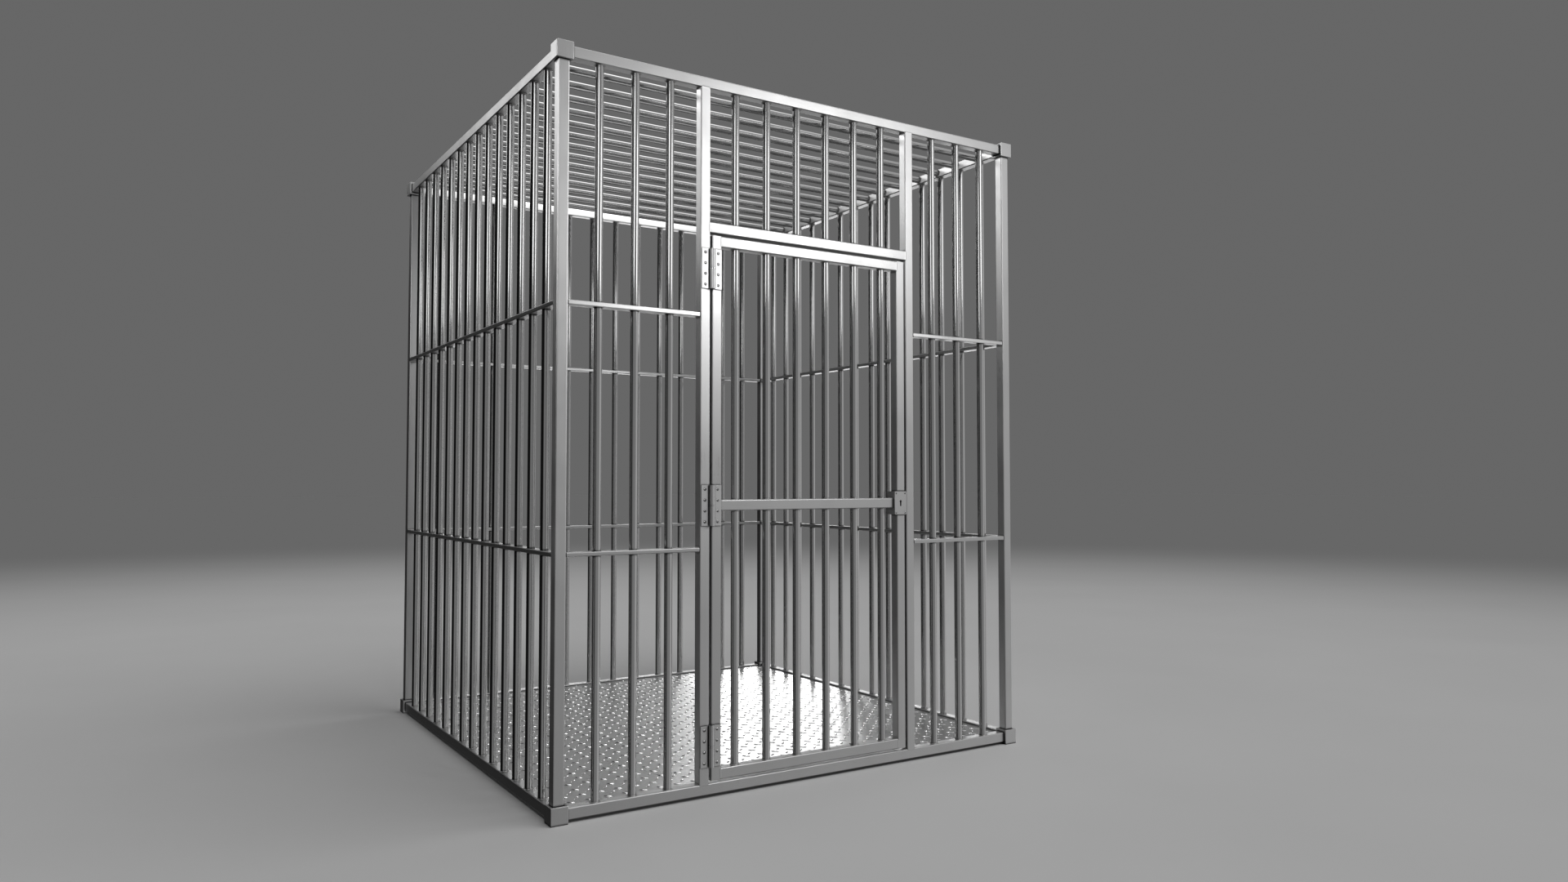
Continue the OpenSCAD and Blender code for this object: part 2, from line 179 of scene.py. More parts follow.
def steel(name, tone, rough, axis, grain_scale=700.0, grain_depth=0.03, wear=1.0):
    """Brushed steel: fine scratches along the axis, and broad hand marks, stronger with wear, with
    painted shade darkening the colour in gaps and next to other parts.
    """
    s = Shader(name)
    scratches = s.noise(GRAIN[axis], grain_scale, 2.0, 0.6)
    marks = s.noise((1, 1, 1), 5.0, 5.0, 0.6)
    drift = s.noise((1, 1, 1), 0.9, 2.0)
    s.principled.inputs["Metallic"].default_value = 1.0
    shade = s.mix(scratches, grey(tone * 0.97), grey(tone * 1.03))
    stained = s.mix(s.remap(marks, 0.5, 0.75, 0.0, 0.35), shade, grey(tone * 0.86, 0.01))
    # Painted shade: the colour is darkened where other parts stand close
    s.join(s.with_painted_shade(stained), s.principled.inputs["Base Color"])
    fine = s.remap(scratches, 0.3, 0.7, rough - 0.03 * wear, rough + 0.04 * wear)
    smudge = s.remap(marks, 0.35, 0.7, -0.03 * wear, 0.07 * wear)
    broad = s.remap(drift, 0.35, 0.65, -0.02, 0.03)
    total = s.math("ADD", s.math("ADD", fine, smudge), broad)
    s.join(total, s.principled.inputs["Roughness"])
    s.bump(scratches, grain_depth, 0.02 * MM)
    return s.material


def tread_steel(name, plate_top, lug_height):
    """Rolled plate: satin between the lugs, polished by feet on top of them."""
    s = Shader(name)
    split = s.add("ShaderNodeSeparateXYZ")
    s.join(s.place, split.inputs[0])
    height = s.remap(split.outputs["Z"], plate_top, plate_top + lug_height, 0.0, 1.0)
    mill = s.noise((1.0, 0.04, 1.0), 260.0, 3.0, 0.6)
    marks = s.noise((1, 1, 1), 6.0, 6.0, 0.65)
    dust = s.remap(marks, 0.5, 0.72, 0.0, 0.4)
    s.principled.inputs["Metallic"].default_value = 1.0
    flat = s.mix(mill, grey(0.50), grey(0.60))
    worn = s.mix(height, flat, grey(0.74))
    dusty = s.mix(s.math("MULTIPLY", dust, s.math("SUBTRACT", 1.0, height)), worn, grey(0.42))
    s.join(dusty, s.principled.inputs["Base Color"])
    fine = s.remap(mill, 0.3, 0.7, 0.27, 0.35)
    smudge = s.remap(marks, 0.35, 0.7, -0.03, 0.08)
    polish = s.math("MULTIPLY", height, -0.14)
    total = s.math("ADD", s.math("ADD", fine, smudge), polish)
    s.join(total, s.principled.inputs["Roughness"])
    s.bump(mill, 0.15, 0.08 * MM)
    return s.material


def weld_steel(name):
    """Weld bead: rippled, a little darker and rougher than the tubes."""
    s = Shader(name)
    ripple = s.noise((1, 1, 1), 320.0, 4.0, 0.6)
    tint = s.noise((1, 1, 1), 60.0, 2.0)
    s.principled.inputs["Metallic"].default_value = 1.0
    s.join(s.mix(tint, grey(0.46, 0.02), grey(0.60)), s.principled.inputs["Base Color"])
    s.join(s.remap(ripple, 0.3, 0.7, 0.34, 0.5), s.principled.inputs["Roughness"])
    s.bump(ripple, 0.4, 0.3 * MM)
    return s.material


# The letter after a name is the axis that the grain runs along
MATERIALS = {f"tube_{a}": steel(f"tube_steel_{a}", 0.62, 0.33, a) for a in "xyz"}
for a in "xz":
    MATERIALS[f"bar_{a}"] = steel(f"bar_steel_{a}", 0.62, 0.11, a, 900.0, 0.01, 0.2)
for a in "xy":
    MATERIALS[f"flat_{a}"] = steel(f"flat_bar_steel_{a}", 0.60, 0.30, a)
MATERIALS["block"] = steel("block_steel", 0.62, 0.30, "z", 500.0)
MATERIALS["hinge"] = steel("hinge_steel", 0.68, 0.34, "z", 900.0)
MATERIALS["lock"] = steel("lock_steel", 0.62, 0.32, "x", 900.0)
MATERIALS["screw"] = steel("screw_steel", 0.66, 0.20, "none", 1200.0, 0.02)
MATERIALS["dark"] = steel("dark_steel", 0.34, 0.38, "x", 500.0)
MATERIALS["black"] = steel("blacked_steel", 0.05, 0.45, "none", 500.0)
MATERIALS["weld"] = weld_steel("weld_bead_steel")

# ---- Edges of the CAD parts ----

LONG_EDGE = 4 * MM
SHARP = math.radians(32)
SEAM_GAP = 0.002 * MM
SAME_FACE = math.radians(0.5)
NEW_PIECE_SHARP = math.radians(40)


def edge_marks_group():
    """Marks sharp edges for the shading, and the long ones among them for rounding."""
    group = bpy.data.node_groups.new("edge_marks", "GeometryNodeTree")
    group.interface.new_socket("Geometry", in_out="INPUT", socket_type="NodeSocketGeometry")
    group.interface.new_socket("Geometry", in_out="OUTPUT", socket_type="NodeSocketGeometry")
    add, join = group.nodes.new, group.links.new

    def greater(value, limit):
        node = add("FunctionNodeCompare")
        node.operation = "GREATER_THAN"
        node.inputs["B"].default_value = limit
        join(value, node.inputs["A"])
        return node.outputs["Result"]

    source, sink = add("NodeGroupInput"), add("NodeGroupOutput")
    sharp = greater(add("GeometryNodeInputMeshEdgeAngle").outputs["Unsigned Angle"], SHARP)
    ends = add("GeometryNodeInputMeshEdgeVertices")
    span = add("ShaderNodeVectorMath")
    span.operation = "DISTANCE"
    join(ends.outputs["Position 1"], span.inputs[0])
    join(ends.outputs["Position 2"], span.inputs[1])
    both = add("FunctionNodeBooleanMath")
    both.operation = "AND"
    join(sharp, both.inputs[0])
    join(greater(span.outputs["Value"], LONG_EDGE), both.inputs[1])
    faces = add("GeometryNodeSetShadeSmooth")
    edges = add("GeometryNodeSetShadeSmooth")
    edges.domain = "EDGE"
    edges.inputs["Shade Smooth"].default_value = False
    weight = add("GeometryNodeStoreNamedAttribute")
    weight.domain = "EDGE"
    weight.data_type = "FLOAT"
    weight.inputs["Name"].default_value = "bevel_weight_edge"
    join(source.outputs[0], faces.inputs["Geometry"])
    join(faces.outputs["Geometry"], edges.inputs["Geometry"])
    join(sharp, edges.inputs["Selection"])
    join(edges.outputs["Geometry"], weight.inputs["Geometry"])
    join(both.outputs[0], weight.inputs["Value"])
    join(weight.outputs["Geometry"], sink.inputs[0])
    return group


EDGE_MARKS = edge_marks_group()


def soften(obj, width):
    """A small rounding on long sharp edges, and smooth shading that keeps flat faces flat."""
    weld = obj.modifiers.new("closed_seams", "WELD")
    weld.merge_threshold = SEAM_GAP
    flat = obj.modifiers.new("whole_faces", "DECIMATE")
    flat.decimate_type = "DISSOLVE"
    flat.angle_limit = SAME_FACE
    marks = obj.modifiers.new("edge_marks", "NODES")
    marks.node_group = EDGE_MARKS
    if width:
        bevel = obj.modifiers.new("edge_rounding", "BEVEL")
        bevel.width = width
        bevel.segments = 3
        bevel.limit_method = "WEIGHT"
    normals = obj.modifiers.new("flat_shading", "WEIGHTED_NORMAL")
    normals.mode = "FACE_AREA_WITH_ANGLE"
    normals.weight = 60
    normals.keep_sharp = True


def run_axis(node):
    """The letter of the axis a part is longest along."""
    low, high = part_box(node)
    size = high - low
    return "xyz"[max(range(3), key=lambda i: size[i])]


def finish_node(name, look, rounding):
    obj = nodes[name]
    obj.data.materials.clear()
    obj.data.materials.append(MATERIALS[look])
    if not name.endswith("bars"):
        soften(obj, rounding)


def look_of(name):
    """(material, edge rounding) of a CAD node."""
    if name.endswith("bars"):
        return ("bar_x" if name == "roof_bars" else "bar_z"), 0
    if name.startswith("corner_blocks"):
        return "block", 2.0 * MM
    if name.endswith("screws"):
        return "screw", 0
    if name == "lock_posts":
        return "black", 0
    if name in ("hinge_pins", "bolt_spring", "floor_joists"):
        return "dark", 0
    if name.endswith("leaf"):
        return "hinge", 1.9 * MM
    if name == "hinge_washers":
        return "screw", 0
    if name in ("lock_bolt", "strike_plate"):
        return "lock", 0.5 * MM
    if name in ("lock_case", "lock_cover"):
        return "lock", 1.0 * MM
    if name.endswith("mid_rail") and name != "door_mid_rail":
        return "flat_" + run_axis(name), 3.0 * MM
    return "tube_" + run_axis(name), 0


# ---- New pieces ----


class Shape:
    """Points and faces collected for one new piece."""

    def __init__(self):
        self.points = []
        self.faces = []

    def add(self, points, faces):
        start = len(self.points)
        self.points += [tuple(p) for p in points]
        self.faces += [tuple(start + i for i in face) for face in faces]

    def piece(self, name, body, material, slot):
        mesh = bpy.data.meshes.new(name)
        mesh.from_pydata(self.points, [], self.faces)
        mesh.materials.append(material)
        mesh.validate()
        mesh.update()
        for polygon in mesh.polygons:
            polygon.use_smooth = True
        mesh.set_sharp_from_angle(angle=NEW_PIECE_SHARP)
        obj = bpy.data.objects.new(name, mesh)
        bpy.context.scene.collection.objects.link(obj)
        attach(obj, body)
        return obj


# -- Tread plate --

PLATE_LOW, PLATE_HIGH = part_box("floor_tread_plate")
LUG_CELL = 64.6 * MM
LUG_LENGTH = 34 * MM
LUG_WIDTH = 10 * MM
LUG_HEIGHT = 2.6 * MM
LUG_START = Vector((19 * MM, 9 * MM))
LUG_SUNK = 0.5 * MM
LUG_MARGIN = LUG_LENGTH * 0.42
LUG_FALL = 2.4
LUG_SIDES = 16
LUG_RINGS = 4
NOTCH_GAP = 0.2 * MM


def lug(shape, x, y, z, turn):
    """One raised lug: a long lens in plan with a round back, closed underneath."""
    c, s = math.cos(turn), math.sin(turn)
    radius = LUG_LENGTH ** 2 / (4 * LUG_WIDTH) + LUG_WIDTH / 4
    points = []
    for ring in range(1, LUG_RINGS + 1):
        share = ring / LUG_RINGS
        height = LUG_HEIGHT * math.sqrt(max(0.0, 1 - share ** LUG_FALL))
        for k in range(LUG_SIDES):
            a = 2 * math.pi * k / LUG_SIDES
            u = math.cos(a) * LUG_LENGTH / 2
            edge = math.sqrt(radius ** 2 - u ** 2) - radius + LUG_WIDTH / 2
            v = math.copysign(edge, math.sin(a)) if abs(math.sin(a)) > 1e-6 else 0.0
            u, v = u * share, v * share
            points.append((x + u * c - v * s, y + u * s + v * c, z + height))
    top = len(points)
    points.append((x, y, z + LUG_HEIGHT))
    bottom = top + 1
    points += [(px, py, z - LUG_SUNK) for px, py, _ in points[top - LUG_SIDES:top]]
    faces = [(top, k, (k + 1) % LUG_SIDES) for k in range(LUG_SIDES)]
    for ring in range(LUG_RINGS - 1):
        a, b = ring * LUG_SIDES, (ring + 1) * LUG_SIDES
        for k in range(LUG_SIDES):
            n = (k + 1) % LUG_SIDES
            faces.append((a + k, b + k, b + n, a + n))
    rim = (LUG_RINGS - 1) * LUG_SIDES
    for k in range(LUG_SIDES):
        n = (k + 1) % LUG_SIDES
        faces.append((rim + k, bottom + k, bottom + n, rim + n))
    faces.append(tuple(reversed(range(bottom, bottom + LUG_SIDES))))
    shape.add(points, faces)


def plate_slab(shape):
    """The plate itself, notched at its corners round the corner blocks."""
    block_low, block_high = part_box("corner_blocks_bottom")
    block = block_high.z - block_low.z
    low, high = PLATE_LOW, PLATE_HIGH
    notch = block_low.x + block + NOTCH_GAP - low.x
    outline = []
    for sx, sy in ((-1, -1), (1, -1), (1, 1), (-1, 1)):
        x, y = (low.x if sx < 0 else high.x), (low.y if sy < 0 else high.y)
        corner = [(x, y - sy * notch), (x - sx * notch, y - sy * notch), (x - sx * notch, y)]
        outline += corner if sx * sy > 0 else corner[::-1]
    n = len(outline)
    points = [(x, y, low.z) for x, y in outline] + [(x, y, high.z) for x, y in outline]
    faces = [tuple(reversed(range(n))), tuple(range(n, 2 * n))]
    faces += [(k, (k + 1) % n, n + (k + 1) % n, n + k) for k in range(n)]
    shape.add(points, faces)


def make_tread_plate():
    shape = Shape()
    plate_slab(shape)
    x0, y0 = PLATE_LOW.x + LUG_START.x, PLATE_LOW.y + LUG_START.y
    columns = int((PLATE_HIGH.x - PLATE_LOW.x) / LUG_CELL) + 1
    for half, turn in ((0.0, math.pi / 4), (0.5, -math.pi / 4)):
        for i in range(columns):
            for j in range(columns):
                x, y = x0 + (i + half) * LUG_CELL, y0 + (j + half) * LUG_CELL
                inside_x = PLATE_LOW.x + LUG_MARGIN < x < PLATE_HIGH.x - LUG_MARGIN
                inside_y = PLATE_LOW.y + LUG_MARGIN < y < PLATE_HIGH.y - LUG_MARGIN
                if inside_x and inside_y:
                    lug(shape, x, y, PLATE_HIGH.z, turn)
    material = tread_steel("tread_plate_steel", PLATE_HIGH.z, LUG_HEIGHT)
    plate = shape.piece("tread_plate", "frame", material, "tread_plate")
    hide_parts("floor_tread_plate")
    return plate


# -- Welds --

FILLET = 2.4 * MM
SUNK = 1.0 * MM
BEAD_SIDES = 24
BEAD_STEPS = 12
ARC_STEPS = 4
RIPPLE = 0.10
FINE_RIPPLE = 0.05
BEAD_TAPER = 0.25


def bead_section():
    """Outline of a bead: a hollow fillet between two faces, with a foot sunk into each."""
    steps = [math.pi / 2 * k / ARC_STEPS for k in range(ARC_STEPS + 1)]
    hollow = [(FILLET * (1 - math.sin(a)), FILLET * (1 - math.cos(a))) for a in steps]
    return [(-SUNK, -SUNK), (FILLET, -SUNK)] + hollow + [(-SUNK, FILLET)]


def ring_bead(shape, centre, up, radius, phase):
    """A rippled weld bead round a bar, where it meets a flat face. up is along the bar."""
    up = Vector(up)
    side = Vector((1, 0, 0)) if abs(up.x) < 0.5 else Vector((0, 1, 0))
    other = up.cross(side)
    section = bead_section()
    count = len(section)
    points = []
    for k in range(BEAD_SIDES):
        a = 2 * math.pi * k / BEAD_SIDES
        out = math.cos(a) * side + math.sin(a) * other
        ripple = 1 + RIPPLE * math.sin(7 * a + phase)
        ripple += FINE_RIPPLE * math.sin(13 * a + 2 * phase)
        for u, v in section:
            stretch = ripple if u > 0 or v > 0 else 1
            points.append(Vector(centre) + out * (radius + u * stretch) + up * v * stretch)
    faces = []
    for k in range(BEAD_SIDES):
        a, b = k * count, ((k + 1) % BEAD_SIDES) * count
        for i in range(count):
            j = (i + 1) % count
            faces.append((a + i, b + i, b + j, a + j))
    shape.add(points, faces)


def corner_bead(shape, corner, toward_a, toward_b, along, half):
    """A straight weld bead in an inner corner between two flat faces."""
    a, b, run = Vector(toward_a), Vector(toward_b), Vector(along)
    if a.cross(b).dot(run) < 0:
        run = -run
    section = bead_section()
    count, steps = len(section), BEAD_STEPS
    points = []
    for k in range(steps + 1):
        t = 2 * k / steps - 1
        swell = 1 + RIPPLE * math.sin(9 * t + corner[2] * 40) - BEAD_TAPER * t ** 6
        for u, v in section:
            u, v = (w * swell if w > 0 else w for w in (u, v))
            points.append(Vector(corner) + a * u + b * v + run * (half * t))
    faces = [tuple(reversed(range(count))), tuple(range(steps * count, (steps + 1) * count))]
    for k in range(steps):
        for i in range(count):
            j = (i + 1) % count
            p, q = k * count, (k + 1) * count
            faces.append((p + i, p + j, q + j, q + i))
    shape.add(points, faces)


def bar_lines(node, across, count):
    """Centre lines of a row of equal bars, as positions along the axis they are spread on."""
    low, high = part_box(node)
    first, last = low[across] + BAR_R, high[across] - BAR_R
    return [first + (last - first) * k / (count - 1) for k in range(count)]


# Upright bar rows: the axis they are spread along, and how many bars there are
UPRIGHT_BARS = {
    "front_left_bars": (0, 3),
    "front_right_bars": (0, 3),
    "transom_bars": (0, 6),
    "left_bars": (1, 14),
    "right_bars": (1, 14),
    "back_bars": (0, 14),
    "door_upper_bars": (0, 6),
    "door_lower_bars": (0, 6),
}
ROOF_BARS = 14


def bar_beads(node, across, count):
    """Beads at both ends of every bar in an upright row."""
    shape = Shape()
    low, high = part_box(node)
    middle = (low + high) / 2
    for k, place in enumerate(bar_lines(node, across, count)):
        centre = Vector(middle)
        centre[across] = place
        for z, up in ((low.z, 1), (high.z, -1)):
            centre.z = z
            ring_bead(shape, centre, (0, 0, up), BAR_R, 1.7 * k + up)
    body = "door" if node.startswith("door") else "frame"
    shape.piece(node.replace("bars", "bar_welds"), body, MATERIALS["weld"], "bar_steel")


def roof_beads():
    shape = Shape()
    low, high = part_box("roof_bars")
    z = (low.z + high.z) / 2
    for k, y in enumerate(bar_lines("roof_bars", 1, ROOF_BARS)):
        for x, way in ((low.x, 1), (high.x, -1)):
            ring_bead(shape, (x, y, z), (way, 0, 0), BAR_R, 1.3 * k + way)
    shape.piece("roof_bar_welds", "frame", MATERIALS["weld"], "bar_steel")


def cross_beads(shape, node, axis):
    """Beads above and below both ends of a rail that butts against two uprights."""
    low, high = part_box(node)
    middle = (low + high) / 2
    along = (0, 1, 0) if axis == 0 else (1, 0, 0)
    for end, way in ((low[axis], 1), (high[axis], -1)):
        inward = [0, 0, 0]
        inward[axis] = way
        for z, up in ((low.z, -1), (high.z, 1)):
            corner = Vector(middle)
            corner[axis], corner.z = end, z
            corner_bead(shape, corner, inward, (0, 0, up), along, FLAT_HALF)


def upright_beads(shape, node):
    """Beads left and right of both ends of an upright that stands between two rails."""
    low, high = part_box(node)
    y = (low.y + high.y) / 2
    for z, up in ((low.z, 1), (high.z, -1)):
        for x, side in ((low.x, -1), (high.x, 1)):
            corner_bead(shape, (x, y, z), (side, 0, 0), (0, 0, up), (0, 1, 0), FLAT_HALF)


# Outline of a ground weld in mm: along the butting tube from the joint, and out from its face
GROUND_FOOT = [(-5.6, -0.5), (1.8, -0.5)]
GROUND_CROWN = [(1.8, 0), (0.9, 0.2), (0, 0.28), (-2, 0.28), (-4.6, 0.2), (-5.6, 0)]
GROUND_SECTION = [(u * MM, v * MM) for u, v in GROUND_FOOT + GROUND_CROWN]
GROUND_OVERHANG = 1 * MM


def ground_weld(shape, end, inward, out):
    """A weld ground flush over a butt joint: end is the middle of the joint on the face."""
    inward, out = Vector(inward), Vector(out)
    along = inward.cross(out)
    half = FLAT_HALF + GROUND_OVERHANG
    points = []
    for run in (-half, half):
        for u, v in GROUND_SECTION:
            points.append(Vector(end) + inward * u + out * v + along * run)
    count = len(GROUND_SECTION)
    faces = [tuple(reversed(range(count))), tuple(range(count, 2 * count))]
    faces += [(i, (i + 1) % count, count + (i + 1) % count, count + i) for i in range(count)]
    shape.add(points, faces)


def ground_ends(shape, node, axis):
    """Ground welds, front and back, at both ends of a tube that butts between two others."""
    low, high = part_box(node)
    middle = (low + high) / 2
    for place, way in ((low[axis], 1), (high[axis], -1)):
        inward = [0, 0, 0]
        inward[axis] = way
        for y, out in ((low.y, -1), (high.y, 1)):
            end = Vector(middle)
            end[axis], end.y = place, y
            ground_weld(shape, end, inward, (0, out, 0))


def make_welds():
    for node, (across, count) in UPRIGHT_BARS.items():
        bar_beads(node, across, count)
    roof_beads()
    fixed = Shape()
    for node in nodes:
        if node.endswith("mid_rail") and node != "door_mid_rail":
            cross_beads(fixed, node, "xyz".index(run_axis(node)))
    cross_beads(fixed, "door_header", 0)
    upright_beads(fixed, "hinge_jamb")
    upright_beads(fixed, "lock_jamb")
    fixed.piece("frame_welds", "frame", MATERIALS["weld"], "tube_steel")
    swinging, ground_frame, ground_door = Shape(), Shape(), Shape()
    for node in ("door_top_rail", "door_mid_rail", "door_bottom_rail"):
        cross_beads(swinging, node, 0)
        ground_ends(ground_door, node, 0)
    swinging.piece("door_welds", "door", MATERIALS["weld"], "tube_steel")
    ground_ends(ground_frame, "door_header", 0)
    ground_ends(ground_frame, "hinge_jamb", 2)
    ground_ends(ground_frame, "lock_jamb", 2)
    ground_frame.piece("frame_ground_welds", "frame", MATERIALS["tube_z"], "tube_steel")
    ground_door.piece("door_ground_welds", "door", MATERIALS["tube_z"], "tube_steel")


# ---- Studio ----

# Grey that the camera sees behind the cage
BACKDROP = 0.135

# The surroundings that the steel reflects. Sides are azimuths from +Y towards +X.
LIT_SIDE = math.radians(106)
LIT_FOCUS = 3.0
LIT_TONE = 0.44
SOFT_TONE = 0.08
DARK_TONE = 0.005
FRONT_WALL = math.radians(211)
FRONT_WALL_FULL = math.radians(20)
FRONT_WALL_EDGE = math.radians(36)
FRONT_WALL_TONE = 0.16
CEILING_TONE = 1.6
CEILING_SIDE = math.radians(75)
CEILING_EDGE = math.radians(75)
CEILING_FROM = math.radians(52)
CEILING_FULL = math.radians(68)
FLOOR_SHARE = 0.2
FLOOR_FROM = math.radians(28)
FLOOR_FULL = math.radians(45)


def make_world():
    """Surroundings for the steel to reflect, lightest on the right. The camera sees plain grey."""
    world = bpy.data.worlds.new("studio")
    bpy.context.scene.world = world
    world.use_nodes = True
    tree = world.node_tree
    add, join = tree.nodes.new, tree.links.new

    def maths(operation, a, b):
        node = add("ShaderNodeMath")
        node.operation = operation
        for socket, value in zip(node.inputs, (a, b)):
            if isinstance(value, bpy.types.NodeSocket):
                join(value, socket)
            else:
                socket.default_value = value
        return node.outputs[0]

    def towards(azimuth):
        """Cosine of the level angle between a direction and an azimuth from +Y."""
        node = add("ShaderNodeVectorMath")
        node.operation = "DOT_PRODUCT"
        node.inputs[1].default_value = (math.sin(azimuth), math.cos(azimuth), 0)
        join(level.outputs["Vector"], node.inputs[0])
        return node.outputs["Value"]

    def ramp(value, low, high):
        node = add("ShaderNodeMapRange")
        node.interpolation_type = "SMOOTHSTEP"
        join(value, node.inputs["Value"])
        node.inputs["From Min"].default_value = low
        node.inputs["From Max"].default_value = high
        return node.outputs["Result"]

    place = add("ShaderNodeTexCoord")
    flat = add("ShaderNodeVectorMath")
    flat.operation = "MULTIPLY"
    flat.inputs[1].default_value = (1, 1, 0)
    join(place.outputs["Generated"], flat.inputs[0])
    level = add("ShaderNodeVectorMath")
    level.operation = "NORMALIZE"
    join(flat.outputs["Vector"], level.inputs[0])
    share = maths("MULTIPLY", maths("ADD", towards(LIT_SIDE), 1.0), 0.5)
    strong = maths("MULTIPLY", maths("POWER", share, LIT_FOCUS), LIT_TONE)
    weak = maths("MULTIPLY", share, SOFT_TONE)
    room = maths("ADD", maths("ADD", strong, weak), DARK_TONE)
    wall = ramp(towards(FRONT_WALL), math.cos(FRONT_WALL_EDGE), math.cos(FRONT_WALL_FULL))
    room = maths("ADD", room, maths("MULTIPLY", wall, FRONT_WALL_TONE))
    split = add("ShaderNodeSeparateXYZ")
    join(place.outputs["Generated"], split.inputs[0])
    above_floor = ramp(split.outputs["Z"], -math.sin(FLOOR_FULL), -math.sin(FLOOR_FROM))
    seen = maths("ADD", maths("MULTIPLY", above_floor, 1 - FLOOR_SHARE), FLOOR_SHARE)
    room = maths("MULTIPLY", room, seen)
    rise = ramp(split.outputs["Z"], math.sin(CEILING_FROM), math.sin(CEILING_FULL))
    side = ramp(towards(CEILING_SIDE), math.cos(CEILING_EDGE), 1.0)
    overhead = maths("MULTIPLY", maths("MULTIPLY", side, rise), CEILING_TONE)
    room = maths("ADD", room, overhead)
    light_path = add("ShaderNodeLightPath")
    mix = add("ShaderNodeMix")
    mix.data_type = "FLOAT"
    join(light_path.outputs["Is Camera Ray"], mix.inputs[0])
    join(room, mix.inputs[2])
    mix.inputs[3].default_value = BACKDROP
    background = tree.nodes["Background"]
    join(mix.outputs[0], background.inputs["Color"])
    background.inputs["Strength"].default_value = 1.0
    world.cycles_visibility.diffuse = False


def group_of(name, members):
    """A collection that a light can be limited to."""
    group = bpy.data.collections.new(name)
    for obj in members:
        group.objects.link(obj)
    return group


def softbox(name, at, aim, size, brightness, lit, blocked_by=None):
    """A rectangular light that only the objects of one group reflect, and one group may block."""
    data = bpy.data.lights.new(name, "AREA")
    data.shape = "RECTANGLE"
    data.size, data.size_y = size
    data.energy = brightness * math.pi * size[0] * size[1]
    light = bpy.data.objects.new(name, data)
    light.location = at
    light.rotation_euler = (Vector(aim) - Vector(at)).to_track_quat("-Z", "Y").to_euler()
    light.visible_camera = False
    light.visible_diffuse = False
    light.light_linking.receiver_collection = lit
    light.light_linking.blocker_collection = blocked_by
    bpy.context.scene.collection.objects.link(light)


def light_groups(plate, floor):
    """The parts that each light is limited to, by the name of the group."""
    scene_meshes = [obj for obj in bpy.context.scene.objects if obj.type == "MESH"]
    pieces = [obj for obj in scene_meshes if obj != floor]
    roof = [obj for obj in pieces if obj.name.startswith("roof")]
    walls = [obj for obj in pieces if not obj.name.startswith("roof")]
    inner = ("top_rail_right", "post_front_right", "lock_jamb", "hinge_jamb")
    flats = ("front_left_upper_mid_rail", "front_right_upper_mid_rail")
    members = {
        "roof": roof,
        "tubes": [obj for obj in walls if not obj.name.endswith("bars")],
        "bars": [obj for obj in walls if obj.name.endswith("bars")],
        "rails": [obj for obj in pieces if "rail" in obj.name],
        "plate": [plate],
        "left_post": [nodes["post_front_left"]],
        "left_uprights": [nodes["post_front_left"], nodes["hinge_jamb"]],
        "back_rail": [nodes["top_rail_back"]],
        "inner_faces": [nodes[name] for name in inner],
        "front_flats": [nodes[name] for name in flats],
        "floor": [floor],
    }
    return {name: group_of(name + "_only", objects) for name, objects in members.items()}


# Place and aim of the lights that more than one group has its own copy of
KEY = (2.43, -5.24, 3.30), (-0.2, -0.99, 2.04)
LEFT = (-2.5, -3.0, 2.85), (-0.3, -0.97, 2.2)
RIM = (-3.66, 4.6, 5.1), (-0.99, 0, 2.4)


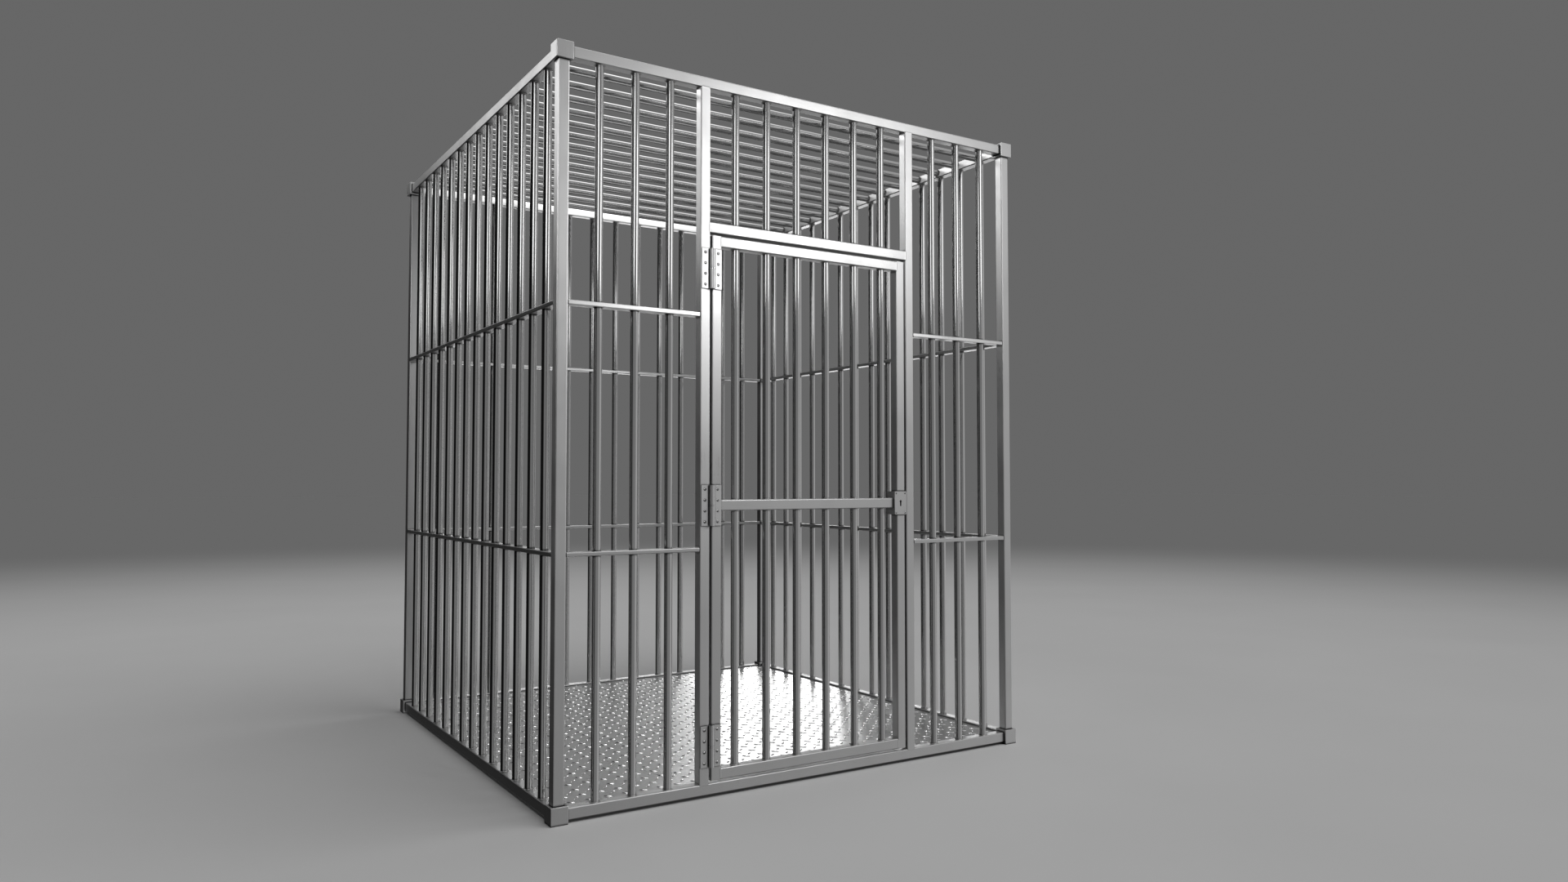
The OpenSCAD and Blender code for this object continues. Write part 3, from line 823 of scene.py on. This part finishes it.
def make_lights(group):
    """A soft light for each kind of surface, since flat faces and round bars need their own.

    Places and brightness were set until the reflections matched the photo.
    """
    tubes, bars, rails, plate = group["tubes"], group["bars"], group["rails"], group["plate"]
    back_rail, inner = group["back_rail"], group["inner_faces"]
    uprights, flats = group["left_uprights"], group["front_flats"]

    softbox("key", *KEY, (1.4, 1.3), 7, tubes)
    softbox("left_key", *LEFT, (0.7, 1.1), 6, tubes)
    softbox("left_rim", *RIM, (2.6, 2.6), 1.6, tubes)
    softbox("left_edge", (-6.2, 1.4, 4.2), (-1.0, -1.0, 2.0), (4.6, 3.0), 2.8, group["left_post"])
    softbox("right_edge", (3.6, -4.0, 3.2), (-0.9, -1.0, 1.6), (1.2, 2.4), 6, uprights)
    softbox("back_face", (1.9, -5.2, 3.1), (-0.3, 0.97, 2.0), (3.0, 1.6), 7, back_rail, back_rail)
    softbox("right_face", (-3.2, 2.8, 4.2), (1.0, -0.7, 2.45), (1.6, 1.4), 4.6, inner, inner)
    softbox("flat_face", (2.43, -5.24, 3.1), (-0.7, -0.99, 1.65), (1.8, 2.0), 3.4, flats)

    softbox("bar_key", *KEY, (2.0, 1.3), 2.4, bars)
    softbox("bar_left", *LEFT, (1.0, 1.1), 2.2, bars)
    softbox("bar_rim", *RIM, (2.6, 2.6), 1.2, bars)
    softbox("roof_line", *KEY, (2.2, 0.35), 2.5, group["roof"])

    softbox("back_strip", (3.55, 5.04, 1.2), (0.2, 0.2, 0.04), (1.35, 2.0), 7.5, plate)
    softbox("lug_glint", (0.0, 1.0, 5.0), (0.0, 0.0, 0.04), (1.8, 1.3), 12, plate, plate)
    softbox("back_wash", (2.3, 6.6, 1.5), (0.2, 0.2, 0.04), (4.8, 2.8), 0.27, plate)
    softbox("back_line", (3.6, 5.9, 1.2), (0.2, 0.99, 0.85), (7.0, 0.8), 3.5, rails)


def make_sky(group):
    """A very soft sun, for the floor alone."""
    data = bpy.data.lights.new("sky", "SUN")
    data.energy = 1.6
    data.angle = math.radians(70)
    sky = bpy.data.objects.new("sky", data)
    sky.rotation_euler = (math.radians(18), math.radians(18), 0)
    sky.light_linking.receiver_collection = group["floor"]
    bpy.context.scene.collection.objects.link(sky)


# Painted pool of light on the floor: pale out to FADE_FROM, darkening to FLOOR_FAR_TONE by FADE_TO
FLOOR_REACH = 80.0
FADE_FROM = 3.0
FADE_TO = 16.0
FLOOR_FAR_TONE = 0.294


def make_floor():
    """Pale floor that fades into the backdrop, with no edge between them: a painted pool of light,
    pale near the cage and darker with distance.
    """
    mesh = bpy.data.meshes.new("studio_floor")
    sides = ((-1, -1), (1, -1), (1, 1), (-1, 1))
    corners = [(sx * FLOOR_REACH, sy * FLOOR_REACH, 0) for sx, sy in sides]
    mesh.from_pydata(corners, [], [(0, 1, 2, 3)])
    s = Shader("floor_paint")
    distance = s.add("ShaderNodeVectorMath", operation="LENGTH")
    s.join(s.place, distance.inputs[0])
    # Painted pool of light: the floor colour darkens with distance from the cage
    fade = s.remap(distance.outputs["Value"], FADE_FROM, FADE_TO, 0.0, 1.0)
    fade.node.interpolation_type = "SMOOTHERSTEP"
    cloud = s.noise((1, 1, 1), 0.8, 3.0)
    near = s.mix(cloud, grey(0.70), grey(0.76))
    s.join(s.mix(fade, near, grey(FLOOR_FAR_TONE)), s.principled.inputs["Base Color"])
    s.principled.inputs["Roughness"].default_value = 0.9
    s.principled.inputs["Specular IOR Level"].default_value = 0.0
    mesh.materials.append(s.material)
    floor = bpy.data.objects.new("studio_floor", mesh)
    floor.visible_glossy = False
    bpy.context.scene.collection.objects.link(floor)
    return floor


# ---- Build ----

make_camera()
make_world()
bpy.context.scene.view_settings.view_transform = "Standard"

for node_name in nodes:
    if node_name != "floor_tread_plate":
        finish_node(node_name, *look_of(node_name))
tread_plate = make_tread_plate()
make_welds()
groups = light_groups(tread_plate, make_floor())
make_lights(groups)
make_sky(groups)
